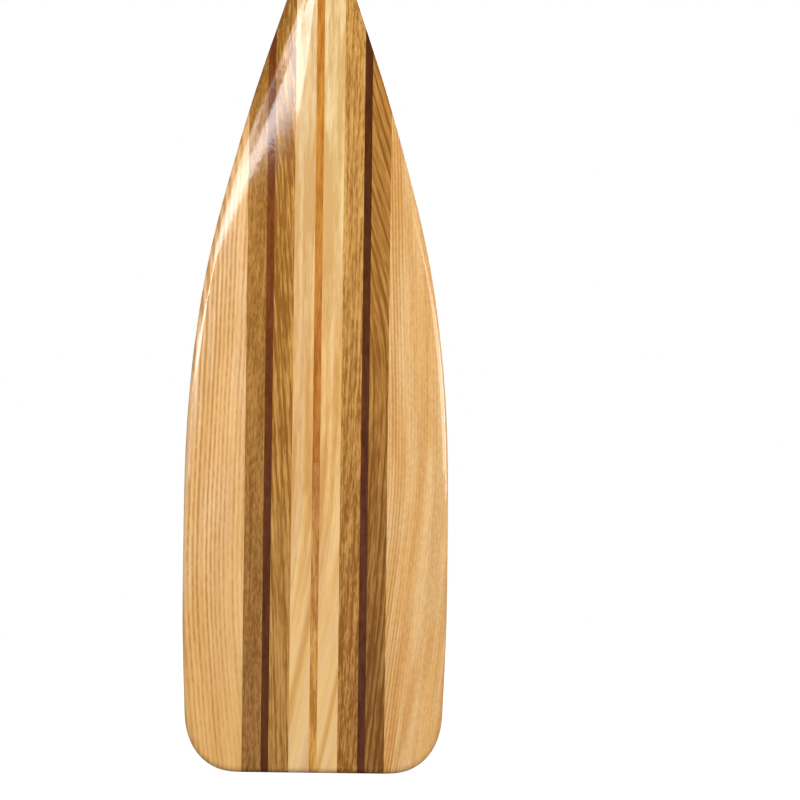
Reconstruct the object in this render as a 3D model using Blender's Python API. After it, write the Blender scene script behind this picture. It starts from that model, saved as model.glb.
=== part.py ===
"""A laminated wooden canoe paddle, blade down, as the wood it is glued up from.

The paddle stands along +Z with the middle of its blade's tip on the origin. Its blade faces -Y and
+Y, and its width runs along X. It is made the way the real one is: straight boards are glued side by
side into a blank, and one carved form, the finished surface of the whole paddle, is what is left of
them. So every sub-part here is a board of its real width, cut back to the carved form.
"""

import math

import bmesh
import bpy
import numpy as np

# Overall
OVERALL_LENGTH = 1.448
BLADE_LENGTH = 0.620  # tip to where the blade has drawn in to the shaft
BLADE_WIDTH = 0.1905
SHAFT_WIDTH = 0.0297
SHAFT_DEPTH = 0.0318  # deeper than wide, so that the hand feels which way the blade faces
NECK_WIDTH = 0.0332  # the shaft swells a little towards the grip
GRIP_WIDTH = 0.1186
GRIP_DEPTH = 0.026

# Blade
BLADE_DEPTH = 0.009  # at the middle of the blade
BLADE_EDGE_DEPTH = 0.0044  # where the face meets the rounded edge
BLADE_EDGE_ROUNDING = 0.005  # width of the rounded edge, seen from the front
TIP_DEPTH = 0.0058
TIP_TAPER = 0.120  # height over which the blade thins towards its tip
TIP_STRAIGHT = 0.1046  # width of the straight stretch of the tip
CORNER_HEIGHT = 0.044
CORNER_SQUARENESS = 2.35  # exponent of the corner's curve, 2 for an ellipse
SANDED_FLAT = 0.00017  # how far the rounded ends are sanded back to a flat

# Grip
GRIP_LENGTH = 0.130  # grip's end to where the flare has drawn in to the neck
GRIP_CROWN_HEIGHT = 0.030  # grip's end to its widest place
GRIP_CROWN_SQUARENESS = 2.06
GRIP_FULL_HEIGHT = 0.045  # grip's end to where it has its full section
GRIP_EDGE_DEPTH = 0.016
GRIP_EDGE_ROUNDING = 0.010
SHAFT_SWELL_LENGTH = 0.310  # below the flare, over which the shaft swells to the neck

# Boards of the blank, by their widths along X
CENTRE_STRIP_WIDTH = 0.0055
CORE_ALLOWANCE = 0.0009  # the core is this much wider than the neck, on each side
INNER_STRIP_WIDTH = 0.0145
ACCENT_STRIP_WIDTH = 0.0055
OUTER_STRIP_WIDTH = 0.01375
CARVING_ALLOWANCE = 0.003  # wood that carving takes off the blank's outside
GLUE_LINE = 0.0001

# Butt joints of the centre strip
LOWER_JOINT_HEIGHT = 0.224  # above the tip
UPPER_JOINT_DROP = 0.516  # below the grip's end
GRIP_JOINT_DROP = 0.111

# Outline of the blade above its corners: (share of BLADE_LENGTH, share of the way from shaft to full width)
BLADE_OUTLINE_SHARES = (
    (0.00, 0.950), (0.07, 0.971), (0.16, 0.996), (0.26, 1.000), (0.40, 0.982), (0.50, 0.918),
    (0.60, 0.797), (0.70, 0.607), (0.80, 0.383), (0.89, 0.153), (0.95, 0.028), (1.00, 0.000),
)
# Outline of the grip's flare: (share of the way from its widest place to the neck, share of full width)
GRIP_OUTLINE_SHARES = (
    (0.00, 1.000), (0.07, 0.965), (0.15, 0.825), (0.24, 0.605), (0.33, 0.406), (0.42, 0.264),
    (0.54, 0.129), (0.68, 0.027), (0.84, 0.004), (1.00, 0.000),
)
# Depth along the middle of the blade: (share of BLADE_LENGTH, share of the way to the shaft's depth)
SPINE_SHARES = (
    (0.45, 0.00), (0.60, 0.03), (0.70, 0.11), (0.78, 0.27), (0.86, 0.54), (0.93, 0.83), (1.00, 1.00),
)
# How far the blade's thin edge has rolled round into the shaft's oval, by share of BLADE_LENGTH
THROAT_SHARES = ((0.55, 0.00), (0.70, 0.05), (0.78, 0.15), (0.86, 0.38), (0.93, 0.72), (1.00, 1.00))

# Fineness of the carved form
COLUMNS = 10  # across half the width
EDGE_COLUMNS = 4  # of those, round the edge
CORNER_STEPS = 12
BLADE_STEPS = 9
THROAT_STEPS = 16
SHAFT_STEPS = 3
SWELL_STEPS = 4
FLARE_STEPS = 16
CROWN_STEPS = 10
OUTLINE_STEPS = 6  # between two cross-sections, to measure distances to the outline


def clear_scene():
    for obj in list(bpy.data.objects):
        bpy.data.objects.remove(obj, do_unlink=True)


def new_collection(name):
    collection = bpy.data.collections.new(name)
    bpy.context.scene.collection.children.link(collection)
    return collection


def smooth_curve(points):
    """A function of one number: the smooth curve through the points (natural cubic spline)."""
    at, value = (np.array(numbers) for numbers in zip(*points))
    step = np.diff(at)
    last = len(at) - 1
    system = np.eye(last + 1)
    bend = np.zeros(last + 1)
    for i in range(1, last):
        system[i, i - 1 : i + 2] = step[i - 1], 2 * (step[i - 1] + step[i]), step[i]
        bend[i] = 6 * ((value[i + 1] - value[i]) / step[i] - (value[i] - value[i - 1]) / step[i - 1])
    bend = np.linalg.solve(system, bend)

    def curve(where):
        where = min(max(where, at[0]), at[last])
        i = min(max(int(np.searchsorted(at, where)) - 1, 0), last - 1)
        a = (at[i + 1] - where) / step[i]
        b = 1 - a
        bent = (a**3 - a) * bend[i] + (b**3 - b) * bend[i + 1]
        return a * value[i] + b * value[i + 1] + bent * step[i] ** 2 / 6

    return curve


blade_outline = smooth_curve(BLADE_OUTLINE_SHARES)
grip_outline = smooth_curve(GRIP_OUTLINE_SHARES)
spine = smooth_curve(SPINE_SHARES)
throat = smooth_curve(THROAT_SHARES)


def mix(start, end, share):
    return start + (end - start) * share


def eased(share):
    """0 to 1 with a level start and end."""
    share = min(max(share, 0.0), 1.0)
    return share * share * (3 - 2 * share)


def quarter_curve(share, squareness):
    """From 0 at share 0, rising straight up, to 1 at share 1, where it is level."""
    share = min(max(share, 0.0), 1.0)
    return (1 - (1 - share) ** squareness) ** (1 / squareness)


def shaft_half_width(height):
    swell = 1 - (OVERALL_LENGTH - GRIP_LENGTH - height) / SHAFT_SWELL_LENGTH
    return mix(SHAFT_WIDTH, NECK_WIDTH, eased(swell)) / 2


def half_width(height):
    """Half the paddle's width at a height above the tip."""
    if height < BLADE_LENGTH:
        side = mix(SHAFT_WIDTH, BLADE_WIDTH, blade_outline(height / BLADE_LENGTH)) / 2
        return mix(TIP_STRAIGHT / 2, side, quarter_curve(height / CORNER_HEIGHT, CORNER_SQUARENESS))
    from_end = OVERALL_LENGTH - height
    if from_end > GRIP_LENGTH:
        return shaft_half_width(height)
    if from_end > GRIP_CROWN_HEIGHT:
        share = (from_end - GRIP_CROWN_HEIGHT) / (GRIP_LENGTH - GRIP_CROWN_HEIGHT)
        return mix(NECK_WIDTH, GRIP_WIDTH, grip_outline(share)) / 2
    share = (from_end + SANDED_FLAT) / (GRIP_CROWN_HEIGHT + SANDED_FLAT)
    return GRIP_WIDTH / 2 * quarter_curve(share, GRIP_CROWN_SQUARENESS)


def section(height):
    """(half depth at the middle, half depth at the edge, width of the rounded edge) at a height."""
    width = half_width(height)
    along = height / BLADE_LENGTH
    middle = mix(BLADE_DEPTH, SHAFT_DEPTH, spine(along)) / 2
    thinned = max(1 - height / TIP_TAPER, 0.0) ** 2
    middle -= thinned * (BLADE_DEPTH - TIP_DEPTH) / 2
    edge = mix(BLADE_EDGE_DEPTH, SHAFT_DEPTH, throat(along)) / 2
    rounding = mix(min(BLADE_EDGE_ROUNDING, width), width, throat(along))
    gripped = eased(1 - (OVERALL_LENGTH - height - GRIP_FULL_HEIGHT) / (GRIP_LENGTH - GRIP_FULL_HEIGHT))
    middle = mix(middle, GRIP_DEPTH / 2, gripped)
    edge = mix(edge, GRIP_EDGE_DEPTH / 2, gripped)
    rounding = mix(rounding, min(GRIP_EDGE_ROUNDING, width), gripped)
    return middle, min(edge, middle), rounding


def steps(start, end, count):
    return [mix(start, end, i / count) for i in range(count)]


def station_heights():
    """Heights of the carved form's cross-sections, closest where it turns round its two ends."""
    throat_start = THROAT_SHARES[0][0] * BLADE_LENGTH
    flare_start = OVERALL_LENGTH - GRIP_LENGTH
    swell_start = max(flare_start - SHAFT_SWELL_LENGTH, BLADE_LENGTH + SHAFT_WIDTH)
    crown_start = OVERALL_LENGTH - GRIP_CROWN_HEIGHT
    corner = [CORNER_HEIGHT * (1 - math.cos(turn)) for turn in steps(0, math.pi / 2, CORNER_STEPS)]
    crown = [crown_start + GRIP_CROWN_HEIGHT * math.sin(turn) for turn in steps(0, math.pi / 2, CROWN_STEPS)]
    return (
        corner
        + steps(CORNER_HEIGHT, throat_start, BLADE_STEPS)
        + steps(throat_start, BLADE_LENGTH, THROAT_STEPS)
        + steps(BLADE_LENGTH, swell_start, SHAFT_STEPS)
        + steps(swell_start, flare_start, SWELL_STEPS)
        + steps(flare_start, crown_start, FLARE_STEPS)
        + crown
        + [OVERALL_LENGTH]
    )


def outline_points(heights):
    """The right half of the paddle's outline as (x, z), from the middle of its tip to that of its end."""
    fine = []
    for low, high in zip(heights, heights[1:]):
        fine += steps(low, high, OUTLINE_STEPS)
    fine.append(heights[-1])
    sides = [(half_width(height), height) for height in fine]
    below = -SANDED_FLAT
    above = OVERALL_LENGTH + SANDED_FLAT
    return np.array([(0, below), (sides[0][0], below), *sides, (sides[-1][0], above), (0, above)])


def distance_to(outline, x, z):
    """How far the point (x, z) lies inside the outline."""
    start = outline[:-1]
    along = np.diff(outline, axis=0)
    share = ((np.array((x, z)) - start) * along).sum(axis=1) / (along**2).sum(axis=1)
    nearest = start + along * np.clip(share, 0, 1)[:, None]
    return float(np.hypot(*(nearest - (x, z)).T).min())


def ring_columns(width, rounding):
    """Distances from the middle to the edge: even across a flat face, then closing in round its edge.
    The rounder the section, the nearer they come to even turns round an oval."""
    inner = COLUMNS - EDGE_COLUMNS
    face = [mix(0, width - rounding, i / inner) for i in range(inner)]
    edge = [width - rounding * (1 - math.sin(turn)) for turn in steps(0, math.pi / 2, EDGE_COLUMNS)]
    oval = [width * math.sin(turn) for turn in steps(0, math.pi / 2, COLUMNS)]
    roundness = min(rounding / width, 1.0) ** 2
    return [mix(flat, bent, roundness) for flat, bent in zip(face + edge, oval)] + [width]


def half_section(outline, height):
    """Points (x, half depth) from the middle of the paddle out to its edge, at one height."""
    width = half_width(height)
    middle, edge, rounding = section(height)
    points = []
    for x in ring_columns(width, rounding)[:-1]:
        crown = mix(edge, middle, 1 - (x / width) ** 2)
        inside = min(distance_to(outline, x, height) / rounding, 1.0)
        points.append((x, crown * quarter_curve(inside, 2)))
    return points + [(width, 0.0)]


def carved_form(collection):
    """The finished surface of the whole paddle: a loft through unlike sections, from tip to grip."""
    heights = station_heights()
    outline = outline_points(heights)
    form = bmesh.new()
    rings = []
    for height in heights:
        right = half_section(outline, height)
        front = [(-x, -y) for x, y in reversed(right)] + [(x, -y) for x, y in right[1:]]
        back = [(x, y) for x, y in reversed(right[:-1])] + [(-x, y) for x, y in right[1:-1]]
        rings.append([form.verts.new((x, y, height)) for x, y in front + back])
    form.faces.new(reversed(rings[0]))
    form.faces.new(rings[-1])
    for low, high in zip(rings, rings[1:]):
        for i in range(len(low)):
            j = (i + 1) % len(low)
            form.faces.new((low[i], low[j], high[j], high[i]))
    bmesh.ops.recalc_face_normals(form, faces=form.faces)
    mesh = bpy.data.meshes.new("carved_form")
    form.to_mesh(mesh)
    form.free()
    mesh.shade_smooth()
    guide = bpy.data.objects.new("carved_form", mesh)
    guide.hide_render = True
    guide.display_type = "WIRE"
    collection.objects.link(guide)
    return guide


def wood(name, colour, roughness):
    material = bpy.data.materials.new(name)
    material.use_nodes = True
    shader = material.node_tree.nodes["Principled BSDF"]
    shader.inputs["Base Color"].default_value = (*colour, 1.0)
    shader.inputs["Roughness"].default_value = roughness
    shader.inputs["Metallic"].default_value = 0.0
    material.diffuse_color = (*colour, 1.0)
    return material


def board(name, across, along, material, form, collection):
    """A straight board of the blank, from across[0] to across[1] in X and along[0] to along[1] in Z."""
    depth = max(SHAFT_DEPTH, GRIP_DEPTH) / 2 + CARVING_ALLOWANCE
    low = (across[0] + GLUE_LINE / 2, -depth, along[0] + GLUE_LINE / 2)
    high = (across[1] - GLUE_LINE / 2, depth, along[1] - GLUE_LINE / 2)
    block = bmesh.new()
    bmesh.ops.create_cube(block, size=1.0)
    for vert in block.verts:
        vert.co = [high[i] if vert.co[i] > 0 else low[i] for i in range(3)]
    mesh = bpy.data.meshes.new(name)
    block.to_mesh(mesh)
    block.free()
    mesh.materials.append(material)
    obj = bpy.data.objects.new(name, mesh)
    collection.objects.link(obj)
    carve = obj.modifiers.new("carve", "BOOLEAN")
    carve.operation = "INTERSECT"
    carve.solver = "EXACT"
    carve.object = form
    return obj


def centre_strip(form, collection):
    """The thin strip down the middle, in four lengths that meet end to end at butt joints."""
    orange = wood("centre_strip_wood", (0.58, 0.24, 0.05), 0.3)
    dark = wood("centre_strip_dark_wood", (0.35, 0.14, 0.04), 0.3)
    across = (-CENTRE_STRIP_WIDTH / 2, CENTRE_STRIP_WIDTH / 2)
    ends = (
        -CARVING_ALLOWANCE,
        LOWER_JOINT_HEIGHT,
        OVERALL_LENGTH - UPPER_JOINT_DROP,
        OVERALL_LENGTH - GRIP_JOINT_DROP,
        OVERALL_LENGTH + CARVING_ALLOWANCE,
    )
    lengths = (("tip", orange), ("lower", orange), ("upper", orange), ("grip", dark))
    for (name, material), low, high in zip(lengths, ends, ends[1:]):
        board(f"centre_strip_{name}", across, (low, high), material, form, collection)


def paired_boards(form, collection):
    """The boards to the left and right of the centre strip, from the core outwards."""
    tip = -CARVING_ALLOWANCE
    end = OVERALL_LENGTH + CARVING_ALLOWANCE
    throat_top = BLADE_LENGTH
    stave = CENTRE_STRIP_WIDTH / 2
    core = max(SHAFT_WIDTH, NECK_WIDTH) / 2 + CORE_ALLOWANCE
    accent = core + INNER_STRIP_WIDTH
    outer = accent + ACCENT_STRIP_WIDTH
    wing = outer + OUTER_STRIP_WIDTH
    blade_side = BLADE_WIDTH / 2 + CARVING_ALLOWANCE
    grip_side = GRIP_WIDTH / 2 + CARVING_ALLOWANCE
    pale = wood("stave_wood", (0.78, 0.56, 0.28), 0.3)
    brown = wood("strip_wood", (0.42, 0.23, 0.07), 0.3)
    dark_red = wood("accent_wood", (0.12, 0.03, 0.015), 0.3)
    light = wood("wing_wood", (0.72, 0.43, 0.17), 0.3)
    walnut = wood("cheek_wood", (0.22, 0.11, 0.045), 0.3)
    boards = (
        ("shaft_stave", stave, core, tip, end, pale),
        ("inner_strip", core, accent, tip, throat_top, brown),
        ("accent_strip", accent, outer, tip, throat_top, dark_red),
        ("outer_strip", outer, wing, tip, throat_top, brown),
        ("wing", wing, blade_side, tip, throat_top, light),
        ("grip_cheek", core, grip_side, OVERALL_LENGTH - GRIP_LENGTH, end, walnut),
    )
    for name, near, far, low, high, material in boards:
        board(f"left_{name}", (-far, -near), (low, high), material, form, collection)
        board(f"right_{name}", (near, far), (low, high), material, form, collection)


def build_paddle():
    clear_scene()
    paddle = new_collection("canoe_paddle")
    guides = new_collection("guides")
    form = carved_form(guides)
    centre_strip(form, paddle)
    paired_boards(form, paddle)


build_paddle()
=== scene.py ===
# %% [markdown]
# A laminated wooden canoe paddle, blade down. The maker glues straight boards of light and dark wood side
# by side into a blank, carves one smooth form out of it, and varnishes it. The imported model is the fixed
# frame: it says where every board lies. This lesson dresses it: a fine surface for each board, a wood of
# its own for each kind of board, and the studio that the paddle is seen in.

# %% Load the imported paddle
import math

import bpy
import numpy as np
from mathutils import Matrix, Vector


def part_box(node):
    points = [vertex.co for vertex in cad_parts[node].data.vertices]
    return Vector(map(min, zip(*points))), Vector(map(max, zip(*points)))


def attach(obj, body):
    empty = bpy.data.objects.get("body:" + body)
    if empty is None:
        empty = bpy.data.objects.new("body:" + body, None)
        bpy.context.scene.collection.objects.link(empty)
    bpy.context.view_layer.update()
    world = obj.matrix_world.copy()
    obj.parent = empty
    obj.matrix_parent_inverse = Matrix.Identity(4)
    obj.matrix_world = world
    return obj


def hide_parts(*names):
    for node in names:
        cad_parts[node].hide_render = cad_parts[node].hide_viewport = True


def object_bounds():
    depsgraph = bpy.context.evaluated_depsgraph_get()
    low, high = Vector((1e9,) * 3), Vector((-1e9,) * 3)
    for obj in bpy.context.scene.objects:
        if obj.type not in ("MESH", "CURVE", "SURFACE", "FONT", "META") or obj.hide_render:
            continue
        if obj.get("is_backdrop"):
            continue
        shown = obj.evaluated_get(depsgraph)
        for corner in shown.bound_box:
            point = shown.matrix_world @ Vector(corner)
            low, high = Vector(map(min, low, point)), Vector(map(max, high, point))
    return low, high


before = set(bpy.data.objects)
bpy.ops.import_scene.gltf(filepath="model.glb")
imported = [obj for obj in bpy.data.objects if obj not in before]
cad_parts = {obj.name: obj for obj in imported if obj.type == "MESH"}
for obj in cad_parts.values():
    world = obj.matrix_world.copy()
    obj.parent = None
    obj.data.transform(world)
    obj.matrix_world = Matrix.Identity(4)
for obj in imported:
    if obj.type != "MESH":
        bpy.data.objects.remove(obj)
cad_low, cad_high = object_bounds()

print("boards in the frame:", len(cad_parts), "from", tuple(cad_low), "to", tuple(cad_high))

# %% [markdown]
# The blank. Glue lines are planes, so each board's place is two distances from the middle of the paddle.
# They could be typed in again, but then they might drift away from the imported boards. They are read off
# the boards' own boxes instead, in the middle of the glue between two neighbours.


# %% Find the glue planes
def glue_plane(inner, outer, axis=0):
    """Where two glued boards meet, along X (axis 0) or Z (axis 2)."""
    return (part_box(inner)[1][axis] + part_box(outer)[0][axis]) / 2


LENGTH = cad_high.z
NO_PLANE = 1.0  # further out than any wood: the board ends at the carved outline
centre_plane = glue_plane("centre_strip_lower", "right_shaft_stave")
core_plane = glue_plane("right_shaft_stave", "right_inner_strip")
accent_plane = glue_plane("right_inner_strip", "right_accent_strip")
outer_plane = glue_plane("right_accent_strip", "right_outer_strip")
wing_plane = glue_plane("right_outer_strip", "right_wing")
joint_heights = [
    glue_plane(f"centre_strip_{low}", f"centre_strip_{high}", axis=2)
    for low, high in (("tip", "lower"), ("lower", "upper"), ("upper", "grip"))
]
print("glue planes in mm:", [round(p * 1000, 2) for p in (centre_plane, core_plane, accent_plane)])
print("butt joints in mm:", [round(h * 1000, 1) for h in joint_heights])

# %% [markdown]
# The carved form. A real paddle is spokeshaved to an outline and a thickness, and both are smooth curves
# along its length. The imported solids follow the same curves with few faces. Subdividing those would round
# off the crisp glue planes, so the curves are written down once more here and sampled finely.

# %% Sizes of the carved form
BLADE_LENGTH = 0.620
BLADE_WIDTH = 0.1905
SHAFT_WIDTH = 0.0297
SHAFT_DEPTH = cad_high.y - cad_low.y
NECK_WIDTH = 0.0332
GRIP_WIDTH = 0.1186
GRIP_DEPTH = 0.026
BLADE_DEPTH = 0.009
BLADE_EDGE_DEPTH = 0.0044
BLADE_EDGE_ROUNDING = 0.005
TIP_DEPTH = 0.0058
TIP_TAPER = 0.120
TIP_STRAIGHT = 0.1046
CORNER_HEIGHT = 0.044
CORNER_SQUARENESS = 2.35
SANDED_FLAT = 0.00017
GRIP_LENGTH = 0.130
GRIP_CROWN_HEIGHT = 0.030
GRIP_CROWN_SQUARENESS = 2.06
GRIP_FULL_HEIGHT = 0.045
GRIP_EDGE_DEPTH = 0.016
GRIP_EDGE_ROUNDING = 0.010
SHAFT_SWELL_LENGTH = 0.310
BLADE_OUTLINE = (
    (0.00, 0.950), (0.07, 0.971), (0.16, 0.996), (0.26, 1.000), (0.40, 0.982), (0.50, 0.918),
    (0.60, 0.797), (0.70, 0.607), (0.80, 0.383), (0.89, 0.153), (0.95, 0.028), (1.00, 0.000),
)
GRIP_OUTLINE = (
    (0.00, 1.000), (0.07, 0.965), (0.15, 0.825), (0.24, 0.605), (0.33, 0.406), (0.42, 0.264),
    (0.54, 0.129), (0.68, 0.027), (0.84, 0.004), (1.00, 0.000),
)
SPINE = ((0.45, 0.00), (0.60, 0.03), (0.70, 0.11), (0.78, 0.27), (0.86, 0.54), (0.93, 0.83), (1.00, 1.00))
THROAT = ((0.55, 0.00), (0.70, 0.05), (0.78, 0.15), (0.86, 0.38), (0.93, 0.72), (1.00, 1.00))


# %% Smooth curves through a few points
def smooth_curve(points):
    """A function of one number or array: the natural cubic spline through the points."""
    at, value = (np.array(numbers) for numbers in zip(*points))
    step = np.diff(at)
    last = len(at) - 1
    system = np.eye(last + 1)
    bend = np.zeros(last + 1)
    for i in range(1, last):
        system[i, i - 1 : i + 2] = step[i - 1], 2 * (step[i - 1] + step[i]), step[i]
        bend[i] = 6 * ((value[i + 1] - value[i]) / step[i] - (value[i] - value[i - 1]) / step[i - 1])
    bend = np.linalg.solve(system, bend)

    def curve(where):
        where = np.clip(where, at[0], at[last])
        i = np.clip(np.searchsorted(at, where) - 1, 0, last - 1)
        a = (at[i + 1] - where) / step[i]
        b = 1 - a
        bent = (a**3 - a) * bend[i] + (b**3 - b) * bend[i + 1]
        return a * value[i] + b * value[i + 1] + bent * step[i] ** 2 / 6

    return curve


blade_outline = smooth_curve(BLADE_OUTLINE)
grip_outline = smooth_curve(GRIP_OUTLINE)
spine = smooth_curve(SPINE)
throat = smooth_curve(THROAT)


def mix(start, end, share):
    return start + (end - start) * share


def eased(share):
    share = np.clip(share, 0.0, 1.0)
    return share * share * (3 - 2 * share)


def quarter_curve(share, squareness):
    """From 0 at share 0, rising straight up, to 1 at share 1, where it is level."""
    share = np.clip(share, 0.0, 1.0)
    return (1 - (1 - share) ** squareness) ** (1 / squareness)


# %% Outline and section
def half_width(height):
    """Half the paddle's width at a height above the tip, for numbers or arrays."""
    height = np.asarray(height, float)
    from_end = LENGTH - height
    side = mix(SHAFT_WIDTH, BLADE_WIDTH, blade_outline(height / BLADE_LENGTH)) / 2
    blade = mix(TIP_STRAIGHT / 2, side, quarter_curve(height / CORNER_HEIGHT, CORNER_SQUARENESS))
    shaft = mix(SHAFT_WIDTH, NECK_WIDTH, eased(1 - (from_end - GRIP_LENGTH) / SHAFT_SWELL_LENGTH)) / 2
    share = (from_end - GRIP_CROWN_HEIGHT) / (GRIP_LENGTH - GRIP_CROWN_HEIGHT)
    flare = mix(NECK_WIDTH, GRIP_WIDTH, grip_outline(share)) / 2
    share = (from_end + SANDED_FLAT) / (GRIP_CROWN_HEIGHT + SANDED_FLAT)
    crown = GRIP_WIDTH / 2 * quarter_curve(share, GRIP_CROWN_SQUARENESS)
    cases = [height < BLADE_LENGTH, from_end > GRIP_LENGTH, from_end > GRIP_CROWN_HEIGHT]
    return np.minimum(np.select(cases, [blade, shaft, flare], crown), cad_high.x)


def section(height):
    """(half depth at the middle, half depth at the edge, width of the rounded edge) at a height."""
    width = half_width(height)
    along = height / BLADE_LENGTH
    middle = mix(BLADE_DEPTH, SHAFT_DEPTH, spine(along)) / 2
    middle = middle - np.maximum(1 - height / TIP_TAPER, 0) ** 2 * (BLADE_DEPTH - TIP_DEPTH) / 2
    edge = mix(BLADE_EDGE_DEPTH, SHAFT_DEPTH, throat(along)) / 2
    rounding = mix(np.minimum(BLADE_EDGE_ROUNDING, width), width, throat(along))
    gripped = eased(1 - (LENGTH - height - GRIP_FULL_HEIGHT) / (GRIP_LENGTH - GRIP_FULL_HEIGHT))
    middle = mix(middle, GRIP_DEPTH / 2, gripped)
    edge = mix(edge, GRIP_EDGE_DEPTH / 2, gripped)
    rounding = mix(rounding, np.minimum(GRIP_EDGE_ROUNDING, width), gripped)
    return middle, np.minimum(edge, middle), rounding


print("half width in mm at the blade, shaft and grip:", (half_width([0.16, 0.8, 1.417]) * 1000).round(2))


# %% Heights at which the form is sampled
# Rows in each stretch of the paddle, from the tip up.
CORNER_ROWS, BLADE_ROWS, THROAT_ROWS, SHAFT_ROWS = 44, 80, 100, 36
SWELL_ROWS, FLARE_ROWS, CROWN_ROWS = 40, 56, 40
SEARCH_POINTS, HALVINGS = 4001, 40  # to find where the outline crosses a plane


def spaced(start, end, count):
    return np.linspace(start, end, count, endpoint=False)


def station_heights(fineness=1):
    """Closest where the form turns round its ends, and where the blade and grip run into the shaft."""
    throat_start = THROAT[0][0] * BLADE_LENGTH
    flare_start = LENGTH - GRIP_LENGTH
    swell_start = flare_start - SHAFT_SWELL_LENGTH
    crown_start = LENGTH - GRIP_CROWN_HEIGHT
    return np.concatenate([
        CORNER_HEIGHT * (1 - np.cos(spaced(0, math.pi / 2, CORNER_ROWS * fineness))),
        spaced(CORNER_HEIGHT, throat_start, BLADE_ROWS * fineness),
        spaced(throat_start, BLADE_LENGTH, THROAT_ROWS * fineness),
        spaced(BLADE_LENGTH, swell_start, SHAFT_ROWS * fineness),
        spaced(swell_start, flare_start, SWELL_ROWS * fineness),
        spaced(flare_start, crown_start, FLARE_ROWS * fineness),
        crown_start + GRIP_CROWN_HEIGHT * np.sin(spaced(0, math.pi / 2, CROWN_ROWS * fineness)),
        [LENGTH],
    ])


def crossings(distance):
    """Heights at which the outline crosses a glue plane, found by halving."""
    heights = np.linspace(0, LENGTH, SEARCH_POINTS)
    over = half_width(heights) > distance
    found = []
    for i in np.flatnonzero(over[1:] != over[:-1]):
        low, high = heights[i], heights[i + 1]
        for _ in range(HALVINGS):
            middle = (low + high) / 2
            if (half_width(middle) > distance) == over[i]:
                low = middle
            else:
                high = middle
        found.append((low + high) / 2)
    return found


planes = (core_plane, accent_plane, outer_plane, wing_plane)
corner_heights = sorted(h for plane in planes for h in crossings(plane))
print("outline crosses the glue planes at, in mm:", [round(h * 1000, 1) for h in corner_heights])

# %% [markdown]
# Thickness. A section is nearly flat across the blade, with a rounded edge, and turns into an oval at the
# shaft. The rounding follows the distance to the outline, so it also runs round the corners of the tip
# and the crown of the grip.

# %% Distance to the outline, and half the depth
outline_heights = station_heights(fineness=5)
outline_x = half_width(outline_heights)
outline_path = np.array([
    (0, -SANDED_FLAT),
    (outline_x[0], -SANDED_FLAT),
    *zip(outline_x, outline_heights),
    (outline_x[-1], LENGTH + SANDED_FLAT),
    (0, LENGTH + SANDED_FLAT),
])
REACH = 0.035  # no point's nearest outline is further above or below it than this
CIRCLE = 2  # the squareness of a round edge


def inside_outline(x, height):
    """How far the points (x, height) lie inside the outline, for an array of x at one height."""
    first, last = np.searchsorted(outline_path[:, 1], (height - REACH, height + REACH))
    path = outline_path[max(first - 2, 0) : last + 2]
    start = path[:-1]
    along = np.diff(path, axis=0)
    offset = np.stack([x, np.full_like(x, height)], axis=-1)[:, None] - start
    share = np.clip((offset * along).sum(-1) / (along**2).sum(-1), 0, 1)
    return np.sqrt(((offset - along * share[..., None]) ** 2).sum(-1)).min(-1)


def half_depth(x, height):
    """Half the paddle's depth at an array of distances x from its middle, at one height."""
    x = np.abs(x)
    middle, edge, rounding = section(height)
    crown = mix(edge, middle, 1 - (x / half_width(height)) ** 2)
    return crown * quarter_curve(inside_outline(x, height) / rounding, CIRCLE)


print("depth in mm in the middle of the blade and shaft:",
      [round(float(half_depth(np.zeros(1), h)[0]) * 2000, 2) for h in (0.2, 0.8)])

# %% [markdown]
# One board. It is the part of the carved form between two glue planes: a grid of points over its front,
# the same over its back, and flat sides and ends. Slicing a finished mesh would leave ragged strips of
# faces along each plane, so the columns of the grid start and end exactly on the planes instead, and
# close in on the rounded edge where the outline cuts the board. Two neighbours then share their rim
# points, and no light gets between them.


# %% Columns across a board
EDGE_SAMPLES = 300
SMALL_STEP = 1e-5  # over which slopes are measured


def columns_between(near, far, height, count):
    """Distances from the middle, from one plane to the other or to the outline."""
    width = float(half_width(height))
    rounding = float(section(height)[2])
    from_edge = width * np.linspace(0, 1, EDGE_SAMPLES) ** 2
    turn = np.arccos(1 - np.minimum(from_edge / rounding, 1))
    paced = from_edge + rounding * turn
    ends = np.interp([width - near, max(width - far, 0)], from_edge, paced)
    x = width - np.interp(np.linspace(*ends, count + 1), paced, from_edge)
    x[0], x[-1] = near, min(far, width)
    return x


def surface_normals(x, height):
    """Outward normals of the front face at one height, measured from the slopes of the depth."""
    room = half_width(height) - np.abs(x)
    out = np.minimum(SMALL_STEP, np.maximum(room, 0) / 2)
    slope_x = (half_depth(x + out, height) - half_depth(x - SMALL_STEP, height)) / (SMALL_STEP + out)
    low, high = max(height - SMALL_STEP, 0), min(height + SMALL_STEP, LENGTH)
    slope_z = (half_depth(x, high) - half_depth(x, low)) / (high - low)
    normal = np.stack([-slope_x, -np.ones_like(x), -slope_z], axis=-1)
    outline_slope = (half_width(high) - half_width(low)) / (high - low)
    normal[room < SMALL_STEP] = (1, 0, -outline_slope)
    return normal / np.linalg.norm(normal, axis=-1, keepdims=True)


# %% The grid of a board
CLOSEST_ROWS = 2e-4


def board_rows(low, high):
    """Heights of a board's rows: its two ends, the stations between, and the outline's own corners."""
    inside = [h for h in corner_heights if low < h < high]
    fixed = np.array([low, high, *inside])
    stations = [h for h in station_heights() if low < h < high and abs(fixed - h).min() > CLOSEST_ROWS]
    return np.sort(np.concatenate([fixed, stations]))


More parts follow.
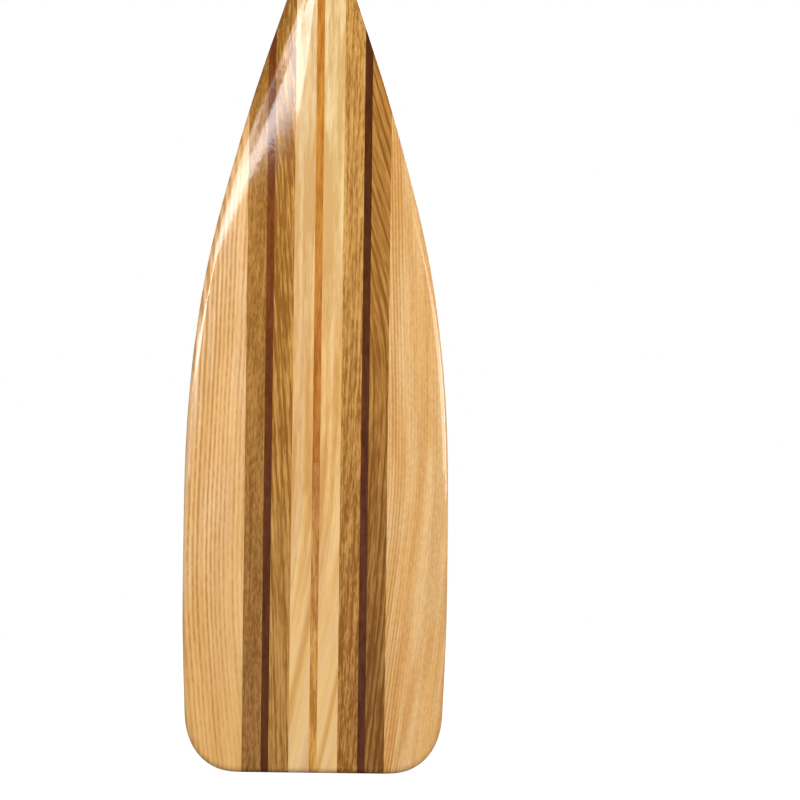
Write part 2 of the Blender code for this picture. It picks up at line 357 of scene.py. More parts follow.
def board_grid(near, far, low, high, count):
    """Points and normals of a board's front face, as arrays of rows by columns by 3."""
    points, normals = [], []
    for height in board_rows(low, high):
        x = columns_between(near, far, height, count)
        depth = half_depth(x, height)
        if far >= half_width(height):
            depth[-1] = 0.0
        points.append(np.stack([x, -depth, np.full_like(x, height)], axis=-1))
        normals.append(surface_normals(x, height))
    return np.array(points), np.array(normals)


# %% Faces, normals and a bake map
FOLDS_PER_METRE = 4.2  # a long board's map is folded into this many lengths
MAP_GAP = 0.004
FACE_SHARE, SIDE_SHARE = 0.44, 0.05  # of a fold's width, for each face and each side
END_STRIP = 0.012  # height of the two end caps on the map
TO_BACK, TO_LEFT = (1, -1, 1), (-1, 1, 1)  # what mirrors a point to the back, or to the left
OTHER_WAY_ROUND = [0, 3, 2, 1]  # the corners of a quad
WELD_DECIMALS = 7


def board_mesh(name, grid, normals, mirrored):
    """A closed mesh of a board, with the exact normals of the carved form on its faces."""
    points = np.concatenate([grid.reshape(-1, 3), (grid * TO_BACK).reshape(-1, 3)])
    surface = np.concatenate([normals.reshape(-1, 3), (normals * TO_BACK).reshape(-1, 3)])
    front = np.arange(normals.size // 3).reshape(grid.shape[:2])
    back = front + front.size
    strips = [
        (front[:-1, :-1], front[:-1, 1:], front[1:, 1:], front[1:, :-1], None),
        (back[:-1, 1:], back[:-1, :-1], back[1:, :-1], back[1:, 1:], None),
        (front[:-1, :1], front[1:, :1], back[1:, :1], back[:-1, :1], (-1, 0, 0)),
        (front[:-1, -1:], back[:-1, -1:], back[1:, -1:], front[1:, -1:], (1, 0, 0)),
        (front[:1, :-1], back[:1, :-1], back[:1, 1:], front[:1, 1:], (0, 0, -1)),
        (front[-1:, :-1], front[-1:, 1:], back[-1:, 1:], back[-1:, :-1], (0, 0, 1)),
    ]
    if mirrored:
        points = points * TO_LEFT
        surface = surface * TO_LEFT
    keys, welded = np.unique(points.round(WELD_DECIMALS), axis=0, return_inverse=True)
    welded = welded.reshape(-1)
    faces, corner_normals, corner_map = [], [], []
    for (*corners, flat), places in zip(strips, bake_map(grid)):
        if flat is not None and mirrored:
            flat = (-flat[0], flat[1], flat[2])
        quads = np.stack([corner.reshape(-1) for corner in corners], axis=-1)
        for quad, place in zip(quads, places):
            kept = [k for k in range(4) if welded[quad[k]] != welded[quad[k - 1]]]
            if len(kept) < 3:
                continue
            if mirrored:
                kept.reverse()
            faces.append([int(welded[quad[k]]) for k in kept])
            for k in kept:
                corner_normals.append(surface[quad[k]] if flat is None else flat)
                corner_map.append(place[k])
    mesh = bpy.data.meshes.new(name)
    mesh.from_pydata(keys.tolist(), [], faces)
    mesh.shade_smooth()
    layer = mesh.uv_layers.new(name="OFBake")
    layer.uv.foreach_set("vector", np.array(corner_map, np.float32).ravel())
    mesh.normals_split_custom_set([tuple(normal) for normal in corner_normals])
    return mesh


def bake_map(grid):
    """For each of a board's six sides, the four map coordinates of every quad."""
    rows = grid[:, :1, 2]
    columns = grid.shape[1] - 1
    span = grid[-1, 0, 2] - grid[0, 0, 2]
    folds = max(1, round(span * FOLDS_PER_METRE))
    height = (rows - rows[0]) / span * folds
    fold = np.minimum(np.floor((height[:-1] + height[1:]) / 2), folds - 1)
    low = np.clip(height[:-1] - fold, 0, 1)
    high = np.clip(height[1:] - fold, 0, 1)
    usable = 1 - 2 * END_STRIP - 2 * MAP_GAP

    def side(left, share, count, flip=False):
        across = np.linspace(0, 1, count + 1)[None]
        start, end = (across[:, 1:], across[:, :-1]) if flip else (across[:, :-1], across[:, 1:])

        def place(along, up):
            from_left = (fold + left + along * share) / folds
            return np.stack(np.broadcast_arrays(from_left, up * usable), axis=-1)

        corners = [place(start, low), place(end, low), place(end, high), place(start, high)]
        return np.stack(corners, axis=-2)

    def cap(bottom):
        across = np.linspace(0, 1, columns + 1)
        start, end = across[:-1], across[1:]

        def place(along, up):
            return np.stack([along, np.full_like(along, up)], axis=-1)

        top = bottom + END_STRIP - MAP_GAP
        corners = [place(start, bottom), place(start, top), place(end, top), place(end, bottom)]
        return np.stack(corners, axis=-2)

    face, edge = FACE_SHARE - MAP_GAP, SIDE_SHARE - MAP_GAP
    parts = [
        side(0.0, face, columns),
        side(FACE_SHARE, face, columns, flip=True),
        side(2 * FACE_SHARE, edge, 1)[..., OTHER_WAY_ROUND, :],
        side(2 * FACE_SHARE + SIDE_SHARE, edge, 1),
        cap(1 - 2 * END_STRIP),
        cap(1 - END_STRIP)[..., OTHER_WAY_ROUND, :],
    ]
    return [part.reshape(-1, 4, 2) for part in parts]


# %% [markdown]
# Shader arithmetic. A wood is mostly arithmetic on the place of a point, and a tree of Math nodes is hard
# to read as code. So an output socket is wrapped in a small class, and Python's own operators add the
# nodes. Numbers and vectors each get their own kind of Math node, and colours are mixed with Mix nodes.


# %% Sockets with arithmetic
class Wire:
    """A node's output. Arithmetic on it adds nodes to the same tree."""

    def __init__(self, socket):
        self.socket = socket
        self.tree = socket.id_data

    def node(self, kind, settings=None, sockets=None, out=0):
        """Adds a node of a kind, sets its settings, fills its sockets, and gives one of its outputs."""
        made = self.tree.nodes.new("ShaderNode" + kind)
        for name, value in (settings or {}).items():
            setattr(made, name, value)
        for name, value in (sockets or {}).items():
            self.fill(made.inputs[name], value)
        return Wire(made.outputs[out])

    def fill(self, socket, value):
        if isinstance(value, Wire):
            self.tree.links.new(value.socket, socket)
        elif isinstance(value, tuple) and socket.type == "RGBA":
            socket.default_value = (*value, 1.0)
        else:
            socket.default_value = value

    def math(self, operation, *values):
        kind = "VectorMath" if self.socket.type == "VECTOR" else "Math"
        return self.node(kind, {"operation": operation}, dict(enumerate(values)))

    def __add__(self, other):
        return self.math("ADD", self, other)

    def __sub__(self, other):
        return self.math("SUBTRACT", self, other)

    def __rsub__(self, other):
        return self.math("SUBTRACT", other, self)

    def __mul__(self, other):
        return self.math("MULTIPLY", self, other)

    def __truediv__(self, other):
        return self.math("DIVIDE", self, other)

    def parts(self):
        """The three numbers of a vector."""
        split = self.node("SeparateXYZ", sockets={0: self})
        return [Wire(socket) for socket in split.socket.node.outputs]

    def rise(self, low, high, start=0.0, end=1.0):
        """A smooth step from start, where this is low, to end, where it is high."""
        values = {0: self, 1: low, 2: high, 3: start, 4: end}
        return self.node("MapRange", {"interpolation_type": "SMOOTHSTEP"}, values)


def tint(share, first, second):
    """A colour between two, by a wire that runs from 0 to 1."""
    return share.node("Mix", {"data_type": "RGBA"}, {0: share, 6: first, 7: second}, out=2)


def stained(share, wood, pigment):
    """The wood's colour, and where share is 1 only the part of it that the pigment lets through."""
    settings = {"data_type": "RGBA", "blend_type": "MULTIPLY"}
    return share.node("Mix", settings, {0: share, 6: wood, 7: pigment}, out=2)


def colour(code):
    """A colour of a wood finisher's chart, in six hex digits, as the linear light that shaders use."""
    shares = [int(code[i : i + 2], 16) / 255 for i in (0, 2, 4)]
    # The curve is that of the sRGB standard.
    return tuple(s / 12.92 if s <= 0.04045 else ((s + 0.055) / 1.055) ** 2.4 for s in shares)


print("honey wood in linear light:", [round(c, 3) for c in colour("E4B478")])

# %% [markdown]
# Figure of wood. Lines on a board are the growth rings of a tree, cut by the board's surface. Painted
# stripes would run on unchanged where the surface curves. So each board gets a place in a tree, with
# rings round a pith, in three dimensions. Its fibres lean a little, by one slope low down and another
# higher up, and its rings, vessels and streaks all follow them, as they do in a sawn board.


# %% Stretched noise
SEED_STEP, SEED_START = (3.7, 5.1, 2.3), (11.3, 4.9, 7.7)  # far apart, so that no two seeds look alike
NOISE_LOW, NOISE_HIGH = 0.3, 0.7  # noise below and above these counts as least and most


def cloud(place, size, seed, detail=2.0, out="Fac"):
    """Soft noise, about 0.5 in the middle, whose lumps are as large as size, in metres along X, Y and Z."""
    shift = tuple(seed * step + start for step, start in zip(SEED_STEP, SEED_START))
    scale = tuple(1 / s for s in size)
    spot = place.node("VectorMath", {"operation": "MULTIPLY_ADD"}, {0: place, 1: scale, 2: shift})
    sockets = {"Vector": spot, "Detail": detail, "Roughness": 0.5, "Scale": 1.0}
    return spot.node("TexNoise", sockets=sockets, out=out)


def streaks(grain, width, length, seed, low=0.38, high=0.62):
    """Streaks of a width and a length along the grain, from 0 to 1."""
    return cloud(grain, (width, width, length), seed).rise(low, high)


# %% Places along the grain
def along_grain(place, below, above, height=0.2, reach=0.06):
    """The place, its X counted from fibres that lean by one slope below a height and another above."""
    x, y, z = place.parts()
    rise = z - height
    turn = rise.math("SQRT", rise * rise + reach * reach)
    lean = rise * ((above + below) / 2) + turn * ((above - below) / 2)
    return place.node("CombineXYZ", sockets={0: x - lean, 1: y, 2: z})


# %% Years in the tree
SWAY_SIZE, WAVER_SIZE = (0.05, 0.05, 0.22), (0.016, 0.016, 0.035)
WAVER_SHARE = 0.14  # of the long sway
RING_VARIETY = 0.83  # lumps of noise per ring


def years(grain, pith, ring, wander, seed):
    """Which growth ring a point lies in: its distance from the pith over the width of a ring."""
    sway = cloud(grain, SWAY_SIZE, seed, detail=1.0, out="Color")
    waver = cloud(grain, WAVER_SIZE, seed, detail=0.0, out="Color")
    spoke = grain - (pith[0], pith[1], 0)
    for noise, reach in ((sway, wander), (waver, wander * WAVER_SHARE)):
        sockets = {0: noise, 1: (reach,) * 3, 2: spoke}
        spoke = spoke.node("VectorMath", {"operation": "MULTIPLY_ADD"}, sockets)
    spoke = spoke * (1, 1, 0)
    return spoke.node("VectorMath", {"operation": "LENGTH"}, {0: spoke}, out="Value") / ring


def ring_lines(year, start, peak, uneven):
    """Dark late wood of each ring, from 0 to 1, some rings bolder than others."""
    share = year.math("FRACT", year)
    line = share.rise(start, peak) * (1 - share.rise(peak, 1.0))
    sockets = {"W": year * RING_VARIETY, "Scale": 1.0, "Detail": 1.0}
    strength = year.node("TexNoise", {"noise_dimensions": "1D"}, sockets)
    return line * strength.rise(NOISE_LOW, NOISE_HIGH, 1 - uneven, 1.0)


# %% [markdown]
# Varnish. The wood is under a clear, glossy coat, brushed and rubbed down, and only the cheeks of the grip
# have a satin one that a hand can hold. It could be a separate shell, but a shell a few hundredths of a
# millimetre off the wood only makes trouble. The shader's own gloss does it: a low roughness that varies a
# little, and a very shallow bump.


# %% A varnished wood
GLOSS = {"roughness": 0.045, "coat": 0.35, "ior": 1.5}
SATIN = {"roughness": 0.26, "coat": 0.0, "ior": 1.33}
LEAST_ROUGH, MOST_ROUGH = 0.8, 1.3  # times the finish's roughness
VARNISH_BUMP = 0.0002  # metres
PEEL_SIZE, RIPPLE_SIZE = (0.0025, 0.0025, 0.0035), (0.02, 0.02, 0.05)
PEEL_HEIGHT, RIPPLE_HEIGHT, GRAIN_DEPTH = 0.03, 0.2, 0.01  # shares of the bump


def varnished(name, preview, paint, finish=GLOSS):
    """A material under varnish. paint(place) gives its colour and the height of its grain."""
    material = bpy.data.materials.new(name)
    material.use_nodes = True
    tree = material.node_tree
    shader = tree.nodes["Principled BSDF"]
    start = tree.nodes.new("ShaderNodeTexCoord")
    place = Wire(start.outputs["Object"])
    wood, grain = paint(place)
    peel = cloud(place, PEEL_SIZE, seed=3.0, detail=1.0)
    ripple = cloud(place, RIPPLE_SIZE, seed=5.0, detail=0.0)
    height = peel * PEEL_HEIGHT + ripple * RIPPLE_HEIGHT - grain * GRAIN_DEPTH
    bump = place.node("Bump", sockets={"Strength": 1.0, "Distance": VARNISH_BUMP, "Height": height})
    place.fill(shader.inputs["Base Color"], wood)
    roughness = finish["roughness"]
    rough = peel.rise(NOISE_LOW, NOISE_HIGH, roughness * LEAST_ROUGH, roughness * MOST_ROUGH)
    place.fill(shader.inputs["Roughness"], rough)
    place.fill(shader.inputs["Normal"], bump)
    shader.inputs["IOR"].default_value = finish["ior"]
    shader.inputs["Coat Weight"].default_value = finish["coat"]
    shader.inputs["Coat Roughness"].default_value = roughness * LEAST_ROUGH
    material.diffuse_color = (*preview, 1.0)
    return material


# %% [markdown]
# Pale staves. They are the same light, close-grained wood from tip to grip, with soft bands along it. Near
# the tip its fibres run out to one side. Below the grip its rings are cut so flat that they show as long
# thin loops, and in the grip as arches. The varnish over the blade has yellowed the wood, the shaft is
# creamy, and the grip end is golden.


# %% Stave wood
# Heights in metres between which the colour turns, and between which the figure sets in.
INTO_THROAT, INTO_SHAFT, INTO_GOLDEN, INTO_GRIP = (0.30, 0.42), (0.52, 0.92), (1.05, 1.24), (1.26, 1.44)
LOOPS_BEGIN, ARCHES_BEGIN = (1.04, 1.14), (1.375, 1.395)
LOOP_SIZE, LOOPS_PER_LUMP = (0.012, 0.03, 0.16), 8
ARCH_SIZE, ARCHES_PER_LUMP = (0.03, 0.03, 0.014), 3
STAVE_PITH, STAVE_PIGMENT = (-0.3, -0.05), (0.73, 0.57, 0.38)


def stave_wood(name, below, pinkness, ring, seed, throat_colour, golden):
    def paint(place):
        z = place.parts()[2]
        grain = along_grain(place, below, above=0.0, height=0.17, reach=0.05)
        pink = streaks(grain, 0.007, 0.09, seed + 7)
        base = tint(pink * pinkness, colour("FACF8A"), colour("F6D1A0"))
        base = tint(z.rise(*INTO_THROAT), base, colour(throat_colour))
        base = tint(z.rise(*INTO_SHAFT), base, colour("FEF3D0"))
        base = tint(z.rise(*INTO_GOLDEN), base, colour(golden))
        base = tint(z.rise(*INTO_GRIP), base, colour("BF9647"))
        year = years(grain, STAVE_PITH, ring, wander=0.012, seed=seed)
        line = ring_lines(year, start=0.62, peak=0.86, uneven=0.9)
        flat_rings = cloud(place, LOOP_SIZE, seed + 5, detail=0.0) * LOOPS_PER_LUMP
        loop = ring_lines(flat_rings, start=0.78, peak=0.93, uneven=0.3)
        end_rings = cloud(place, ARCH_SIZE, seed + 6, detail=1.0) * ARCHES_PER_LUMP
        arch = ring_lines(end_rings, start=0.5, peak=0.85, uneven=0.4)
        curl = loop * z.rise(*LOOPS_BEGIN, 0.0, 0.8) + arch * z.rise(*ARCHES_BEGIN, 0.0, 0.5)
        bold = z.rise(0.10, 0.24, 0.8, 0.25)
        band = streaks(grain, 0.0042, 0.16, seed)
        broad = streaks(grain, 0.0090, 0.14, seed + 1)
        fleck = streaks(grain, 0.0014, 0.014, seed + 2)
        soft = z.rise(0.06, 0.22, 0.35, 1.0)
        shade = line * bold + curl + (band * 0.50 + broad * 0.42 + fleck * 0.28) * soft
        return stained(shade, base, STAVE_PIGMENT), line + fleck

    return varnished(name, colour("E8BC7B"), paint)


# %% [markdown]
# Orange centre strip. It is one thin strip of a reddish softwood in four lengths, butted end to end. Each
# length comes from another board, so the colour steps at the joints, and a hairline of dark glue shows.


# %% Centre strip wood
CENTRE_PIGMENT = (0.62, 0.48, 0.33)
GLUE_LINE, GLUE_SHADE = 0.0012, 0.5


def centre_wood(name, low, high, lower_colour, upper_colour, seed, depth):
    def paint(place):
        z = place.parts()[2]
        base = tint(z.rise(low, high), colour(lower_colour), colour(upper_colour))
        band = streaks(place, 0.0030, 0.05, seed)
        blotch = streaks(place, 0.0040, 0.022, seed + 4)
        fleck = streaks(place, 0.0013, 0.0100, seed + 6)
        glue = (z - low).rise(0.0, GLUE_LINE, GLUE_SHADE, 0.0)
        shade = (band * 0.7 + blotch * 0.8 + fleck * 0.9) * depth + glue
        return stained(shade, base, CENTRE_PIGMENT), fleck

    return varnished(name, colour(lower_colour), paint)


# %% [markdown]
# Brown strips. An open-pored, mid-brown wood: its vessels are cut lengthwise and show as short dark
# dashes, thick together in some rings. The rings of each strip lie at another angle, so one shows
# straight streaks, another is mottled, and another has slanting lines in the throat.


# %% Brown strip wood
BROWN_PIGMENT = (0.46, 0.35, 0.20)
CRISP = (0.42, 0.58)  # closer limits than usual, for short hard-edged dashes


def brown_wood(name, lower_colour, upper_colour, slopes, pith, ring, seed, figure):
    def paint(place):
        z = place.parts()[2]
        grain = along_grain(place, **slopes)
        base = tint(z.rise(0.04, 0.40), colour(lower_colour), colour(upper_colour))
        year = years(grain, pith, ring, wander=0.009, seed=seed)
        line = ring_lines(year, start=0.42, peak=0.85, uneven=0.9)
        streak = streaks(grain, 0.0017, 0.055, seed + 1, *CRISP)
        fleck = streaks(grain, 0.0011, figure["length"], seed + 2, *CRISP)
        patch = streaks(grain, 0.0075, 0.045, seed + 3)
        shade = line * figure["line"] + streak * figure["streak"] + fleck * figure["fleck"]
        shade = shade + patch * figure["patch"]
        depth = z.rise(0.05, 0.40, figure["low"], figure["high"])
        return stained(shade * depth, base, BROWN_PIGMENT), line + fleck

    return varnished(name, colour(lower_colour), paint)


# %% [markdown]
# Accent strips. Two narrow strips of a dense, dark red-brown wood edge the light ones. It is almost even,
# with a faint straight grain and small darker flecks.


# %% Accent wood
ACCENT_PIGMENT = (0.50, 0.40, 0.45)


def accent_wood(name, lower_colour, upper_colour, seed):
    def paint(place):
        z = place.parts()[2]
        base = tint(z.rise(0.15, 0.45), colour(lower_colour), colour(upper_colour))
        band = streaks(place, 0.0030, 0.04, seed)
        blotch = streaks(place, 0.0040, 0.010, seed + 1)
        fleck = streaks(place, 0.0017, 0.006, seed + 2)
        shade = band * 0.35 + blotch * 0.3 + fleck * 0.25
        return stained(shade, base, ACCENT_PIGMENT), fleck

    return varnished(name, colour(lower_colour), paint)


# %% [markdown]
# Wings. The broad outer boards are a light, honey-coloured wood. The left one is cut so that its rings
# stand on edge, and shows bold, broken lines. Its pith lies in front of the paddle, so on the rounded edge
# the same rings run out as short slanting dashes. The right one starts with fine, close lines at its inner
# side and is almost plain further out.


# %% Wing wood
BOLD_PITH, BOLD_RING, BOLD_PIGMENT = (-0.34, -0.20), 0.0025, (0.66, 0.51, 0.34)
FINE_PITH, FINE_RING, FINE_PIGMENT = (0.42, 0.16), 0.0021, (0.68, 0.53, 0.35)


def bold_wing(name, seed):
    def paint(place):
        x, _, z = place.parts()
        grain = along_grain(place, below=-0.14, above=0.045, height=0.11, reach=0.08)
        year = years(grain, BOLD_PITH, BOLD_RING, wander=0.005, seed=seed)
        line = ring_lines(year, start=0.15, peak=0.62, uneven=0.6)
        dash = streaks(grain, 0.0016, 0.007, seed + 1)
        band = streaks(grain, 0.0060, 0.08, seed + 2)
        slow = streaks(grain, 0.0140, 0.10, seed + 3)
        outward = (x * -1).rise(0.056, 0.085, 0.45, 1.0)
        base = tint(slow, colour("FCD19B"), colour("F8C786"))
        base = tint(z.rise(0.0, 0.25), colour("F4C17A"), base)
        bold = line * (dash * 0.5 + 0.95) * outward
        bold = bold * z.rise(0.0, 0.22, 0.55, 1.0) * z.rise(0.26, 0.36, 1.0, 1.5)
        shade = bold + dash * 0.12 + band * 0.24
        return stained(shade, base, BOLD_PIGMENT), line + dash

    return varnished(name, colour("E4B478"), paint)


def fine_wing(name, inner, seed):
    def paint(place):
        x = place.parts()[0]
        grain = along_grain(place, below=0.13, above=-0.03, height=0.20, reach=0.04)
        year = years(grain, FINE_PITH, FINE_RING, wander=0.003, seed=seed)
        line = ring_lines(year, start=0.2, peak=0.62, uneven=0.6)
        near = (x - inner).rise(0.006, 0.014, 1.0, 0.25)
        fleck = streaks(grain, 0.0016, 0.0040, seed + 1)
        band = streaks(grain, 0.0060, 0.14, seed + 2)
        slow = streaks(grain, 0.0130, 0.12, seed + 3)
        base = tint(slow, colour("F3C88C"), colour("EEBA76"))
        shade = line * near * 0.95 + fleck * 0.22 + band * 0.34
        return stained(shade, base, FINE_PIGMENT), line * near + fleck

    return varnished(name, colour("E1B175"), paint)


# %% [markdown]
# Grip cheeks. The blocks that widen the grip are dark, streaked wood. The flare cuts across its rings, so
# the streaks bend a little towards the edges. Towards the crown the colour is darkened as painted shade.


# %% Cheek wood
CHEEK_PIGMENT = (0.36, 0.32, 0.30)
# Heights between which the cheeks' colour darkens towards the crown, as painted shade.
CROWN_SHADE_HEIGHTS = (1.405, 1.435)


def cheek_wood(name, light, pith, seed):
    def paint(place):
        grain = along_grain(place, below=0.10, above=0.10)
        year = years(grain, pith, ring=0.0036, wander=0.008, seed=seed)
        line = ring_lines(year, start=0.1, peak=0.7, uneven=0.8)
        streak = streaks(grain, 0.0030, 0.020, seed + 1)
        blot = streaks(grain, 0.0080, 0.03, seed + 2)
        fleck = streaks(grain, 0.0016, 0.006, seed + 3)
        shade = line * 0.4 + streak * 0.5 + blot * 0.45 + fleck * 0.3
        # Painted shade: the share of pigment grows towards the crown, so the colour darkens there.
        depth = place.parts()[2].rise(*CROWN_SHADE_HEIGHTS, 0.80, 1.18)
        return stained(shade * depth, colour(light), CHEEK_PIGMENT), line + fleck

    return varnished(name, colour(light), paint, SATIN)


# %% [markdown]
# The boards, one by one. Each piece replaces the imported board of its name and rides on the paddle's one
# body.

# %% Woods for the boards
lower_joint, upper_joint, grip_joint = joint_heights
BELOW_TIP, THROAT_MIDDLE = -0.05, 0.5  # metres
# How deep lines, streaks, flecks and patches are, a fleck's length in metres, and how deep all are low
# down and high up.
INNER_LEFT = dict(line=0.60, streak=0.50, fleck=0.42, patch=0.20, length=0.013, low=0.72, high=1.22)
OUTER_LEFT = dict(line=0.14, streak=0.26, fleck=0.46, patch=0.20, length=0.005, low=0.95, high=0.95)
INNER_RIGHT = dict(line=0.28, streak=0.38, fleck=0.42, patch=0.22, length=0.007, low=1.32, high=0.92)
OUTER_RIGHT = dict(line=0.95, streak=0.28, fleck=0.28, patch=0.22, length=0.013, low=1.46, high=1.04)
woods = {
    "centre_strip_tip": centre_wood(
        "centre_wood_tip", BELOW_TIP, lower_joint, "EEB25A", "D59B59", seed=1.0, depth=0.6),
    "centre_strip_lower": centre_wood(
        "centre_wood_lower", lower_joint, THROAT_MIDDLE, "CA823C", "DC963A", seed=2.0, depth=0.40),
    "centre_strip_upper": centre_wood(
        "centre_wood_upper", upper_joint, grip_joint, "D8A443", "A87420", seed=3.0, depth=0.40),
    "centre_strip_grip": centre_wood(
        "centre_wood_grip", grip_joint, LENGTH, "A37328", "92642B", seed=4.0, depth=0.9),
    "left_shaft_stave": stave_wood(
        "stave_wood_left", below=0.20, pinkness=0.7, ring=0.0190, seed=1.0,
        throat_colour="FBDDAA", golden="D3AB5C"),
    "right_shaft_stave": stave_wood(
        "stave_wood_right", below=0.22, pinkness=0.4, ring=0.0170, seed=6.0,
        throat_colour="FFE5AE", golden="DEC47C"),
    "left_inner_strip": brown_wood(
        "brown_wood_inner_left", "D19D56", "D8A04F",
        slopes=dict(below=-0.02, above=-0.07, height=0.10, reach=0.05),
        pith=(-0.30, 0.10), ring=0.0040, seed=1.0, figure=INNER_LEFT),
    "right_inner_strip": brown_wood(
        "brown_wood_inner_right", "CF9753", "E2AC5E",
        slopes=dict(below=0.06, above=0.02, height=0.10, reach=0.05),
        pith=(0.30, 0.10), ring=0.0034, seed=5.0, figure=INNER_RIGHT),
    "left_outer_strip": brown_wood(
        "brown_wood_outer_left", "B58348", "C28C43",
        slopes=dict(below=0.0, above=0.05, height=0.25, reach=0.05),
        pith=(-0.25, 0.06), ring=0.0040, seed=9.0, figure=OUTER_LEFT),
    "right_outer_strip": brown_wood(
        "brown_wood_outer_right", "B28043", "C99045",
        slopes=dict(below=0.09, above=-0.34, height=0.31, reach=0.05),
        pith=(0.35, 0.05), ring=0.0044, seed=13.0, figure=OUTER_RIGHT),
    "left_accent_strip": accent_wood("accent_wood_left", "67391B", "8E4C1A", seed=1.0),
    "right_accent_strip": accent_wood("accent_wood_right", "6B3C22", "60310D", seed=5.0),
    "left_wing": bold_wing("wing_wood_bold", seed=1.0),
    "right_wing": fine_wing("wing_wood_fine", inner=wing_plane, seed=4.0),
    "left_grip_cheek": cheek_wood("cheek_wood_left", "74502A", pith=(-0.05, 0.10), seed=1.0),
    "right_grip_cheek": cheek_wood("cheek_wood_right", "9A733F", pith=(0.06, 0.09), seed=7.0),
}
print("woods:", len(woods))


# %% Make the pieces
NEAR_CROSSING = 0.005  # a packed end this close to a crossing of the outline is that crossing
CENTRE_COLUMNS = 8


def make_piece(node, grid, normals, mirrored=False):
    mesh = board_mesh(node + "_wood", grid, normals, mirrored)
    mesh.materials.append(woods[node])
    piece = bpy.data.objects.new(node + "_wood", mesh)
    bpy.context.scene.collection.objects.link(piece)
    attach(piece, "root")
    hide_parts(node)
    print(piece.name, len(mesh.polygons), "faces")


def board_ends(node, near):
    """A board's lowest and highest point: its packed ends, or where the outline leaves its near plane."""
    low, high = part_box(node)[0].z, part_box(node)[1].z
    ends = []
    for end in (low, high):
        nearest = min(crossings(near), key=lambda height: abs(height - end), default=end)
        outside = half_width(end) < near + SMALL_STEP
        on_outline = 0 < end < LENGTH and abs(end - nearest) < NEAR_CROSSING
        ends.append(nearest if outside or on_outline else end)
    return ends


joints = [0.0, *joint_heights, LENGTH]
for name, low, high in zip(("tip", "lower", "upper", "grip"), joints, joints[1:]):
    grid, normals = board_grid(-centre_plane, centre_plane, low, high, CENTRE_COLUMNS)
    make_piece(f"centre_strip_{name}", grid, normals)

BOARDS = (  # name, nearer and further plane, and columns across
    ("shaft_stave", centre_plane, core_plane, 22),
    ("inner_strip", core_plane, accent_plane, 20),
    ("accent_strip", accent_plane, outer_plane, 10),
    ("outer_strip", outer_plane, wing_plane, 20),
    ("wing", wing_plane, NO_PLANE, 48),
    ("grip_cheek", core_plane, NO_PLANE, 44),
)
for name, near, far, count in BOARDS:
    low, high = board_ends(f"right_{name}", near)
    grid, normals = board_grid(near, far, low, high, count)
    make_piece(f"left_{name}", grid, normals, mirrored=True)
    make_piece(f"right_{name}", grid, normals)

# %% [markdown]
# Camera. The photograph was taken square to the blade, from far enough away that the sides look
# parallel. So the camera looks along +Y at the height of the blade's middle, with a long lens, and is
# turned by less than a degree because the paddle leans a little in the picture.

# %% Set up the camera
PICTURE_SIDE = 800  # pixels
TIP_IN_PICTURE = (312.6, 772.7)  # where the middle of the tip lies, in pixels from the upper left
PIXELS_PER_METRE = 1387.5
PADDLE_LEAN = math.radians(0.711)
LENS, SENSOR = 85.0, 36.0  # mm

camera_data = bpy.data.cameras.new("camera")
camera_data.lens = LENS
camera_data.sensor_width = SENSOR
camera = bpy.data.objects.new("camera", camera_data)
bpy.context.scene.collection.objects.link(camera)
bpy.context.scene.camera = camera
right = Vector((math.cos(PADDLE_LEAN), 0, math.sin(PADDLE_LEAN)))
up = Vector((-math.sin(PADDLE_LEAN), 0, math.cos(PADDLE_LEAN)))
distance = LENS / SENSOR * PICTURE_SIDE / PIXELS_PER_METRE
middle = PICTURE_SIDE / 2
to_right = (middle - TIP_IN_PICTURE[0]) / PIXELS_PER_METRE
to_top = (TIP_IN_PICTURE[1] - middle) / PIXELS_PER_METRE
place = right * to_right + up * to_top - Vector((0, distance, 0))
turn = Matrix((right, up, Vector((0, -1, 0)))).transposed()
camera.matrix_world = Matrix.Translation(place) @ turn.to_4x4()
print("camera at", [round(c, 4) for c in camera.location])

# %% [markdown]
# Studio. A product picture on white: a pale floor, a bright even background, and large soft lights. Gloss
# shows a light wherever the surface turns towards it, so each light's place is chosen by what it draws.
# Three highlight boxes stand at the left, where the throat mirrors them as one long streak. The edge
# boxes draw thin lines in the rounded edges. The two big ones that light the wood hang high up, where no
# part of the blade mirrors them, and another lights the back.


# %% Softboxes
BOX_DISTANCE = 2.0
MIDDLE_OF_BLADE, MIDDLE_OF_PADDLE = (0, 0, 0.35), (0, 0, 0.7)


def softbox(name, at, target, width, height, brightness, roll=0.0):
    """A rectangular light, as bright as this many times white paper in full light."""
    data = bpy.data.lights.new(name, "AREA")
    data.shape = "RECTANGLE"
    data.size, data.size_y = width, height
    data.energy = brightness * math.pi * width * height
    light = bpy.data.objects.new(name, data)
    bpy.context.scene.collection.objects.link(light)
    light.location = at
    light.rotation_euler = (Vector(target) - Vector(at)).to_track_quat("-Z", "Y").to_euler()
    light.rotation_euler.rotate_axis("Z", math.radians(roll))
    light.visible_camera = False


def facing_box(name, at, width, height, brightness, roll=0.0):
    """A softbox in front of the blade's face and square to it. With roll, its left end is higher."""
    x, z = at
    softbox(name, (x, -BOX_DISTANCE, z), (x, 0, z), width, height, brightness, -roll)


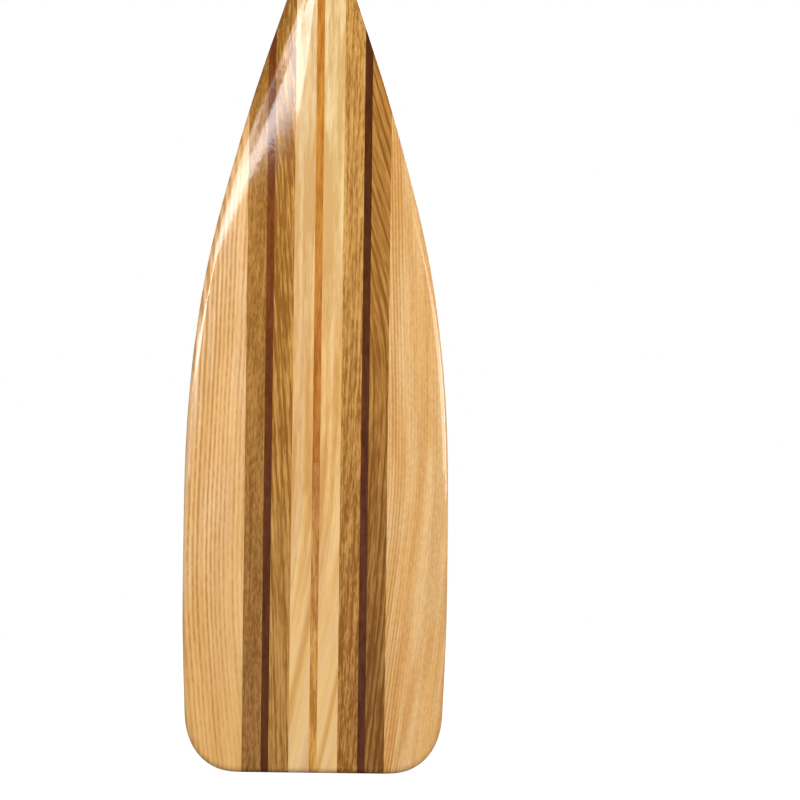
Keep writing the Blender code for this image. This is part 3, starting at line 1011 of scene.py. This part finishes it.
# After its name, a facing box has its place along X and Z, and another box its place and its target.
# Then come width, height and brightness.
facing_box("highlight_box", (-0.392, 0.690), 0.260, 0.100, 9.8, roll=12)
facing_box("highlight_box_outer", (-0.692, 0.657), 0.40, 0.18, 9.5, roll=24)
facing_box("highlight_box_end", (-1.180, 0.835), 0.60, 0.25, 5.5, roll=22)
facing_box("left_edge_box", (-1.050, 0.450), 1.00, 0.15, 11)
facing_box("left_edge_box_end", (-1.900, 0.500), 0.70, 0.25, 4)
facing_box("left_edge_box_low", (-1.050, 0.250), 1.00, 0.24, 3)
facing_box("right_edge_box", (1.580, 0.470), 1.45, 0.64, 4)
facing_box("right_edge_box_end", (3.000, 0.450), 1.40, 0.80, 8)
softbox("high_left_box", (-1.6, -1.7, 2.5), MIDDLE_OF_BLADE, 1.2, 1.0, 10.5)
softbox("high_right_box", (1.6, -1.7, 2.5), MIDDLE_OF_BLADE, 1.2, 1.0, 16)
softbox("rear_box", (0.2, 2.8, 1.5), MIDDLE_OF_PADDLE, 2.2, 2.2, 4.2)


# %% White floor and background
FELT = 0.12  # the floor's greyness and the room's brightness, for all rays but the camera's
FLOOR_GREY, FLOOR_GLOW, GLOW_SHARE = 0.8, 1.3, 0.65  # as the camera sees the floor


def seen_by_camera(tree):
    return Wire(tree.nodes.new("ShaderNodeLightPath").outputs["Is Camera Ray"])


def floor_sheet(radius, sides=96):
    """A round sheet under the paddle. It looks white, with a soft shadow, and throws little light back."""
    mesh = bpy.data.meshes.new("floor")
    turns = [2 * math.pi * i / sides for i in range(sides)]
    mesh.from_pydata([(radius * math.cos(t), radius * math.sin(t), 0) for t in turns], [], [range(sides)])
    sheet = bpy.data.objects.new("floor", mesh)
    bpy.context.scene.collection.objects.link(sheet)
    material = bpy.data.materials.new("white_floor")
    material.use_nodes = True
    tree = material.node_tree
    camera_ray = seen_by_camera(tree)
    greys = (FLOOR_GREY, FELT)
    pale, dark = (camera_ray.node("BsdfDiffuse", sockets={"Color": (grey,) * 3}) for grey in greys)
    glow = camera_ray.node("Emission", sockets={"Strength": FLOOR_GLOW})
    white = camera_ray.node("MixShader", sockets={0: GLOW_SHARE, 1: pale, 2: glow})
    seen = camera_ray.node("MixShader", sockets={0: camera_ray, 1: dark, 2: white})
    camera_ray.fill(tree.nodes["Material Output"].inputs["Surface"], seen)
    mesh.materials.append(material)
    sheet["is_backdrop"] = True


def white_room(seen, felt):
    """A background that is white to the camera and dimmer as a source of light."""
    world = bpy.data.worlds.new("white_room")
    bpy.context.scene.world = world
    world.use_nodes = True
    background = world.node_tree.nodes["Background"]
    background.inputs["Color"].default_value = (1, 1, 1, 1)
    camera_ray = seen_by_camera(world.node_tree)
    camera_ray.fill(background.inputs["Strength"], camera_ray * (seen - felt) + felt)


floor_sheet(radius=0.8)
white_room(seen=1.0, felt=FELT)
bpy.context.scene.view_settings.view_transform = "Standard"

# %% [markdown]
# Last, the bounds of the dressed paddle are measured.

# %% Measure the dressed paddle
low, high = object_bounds()
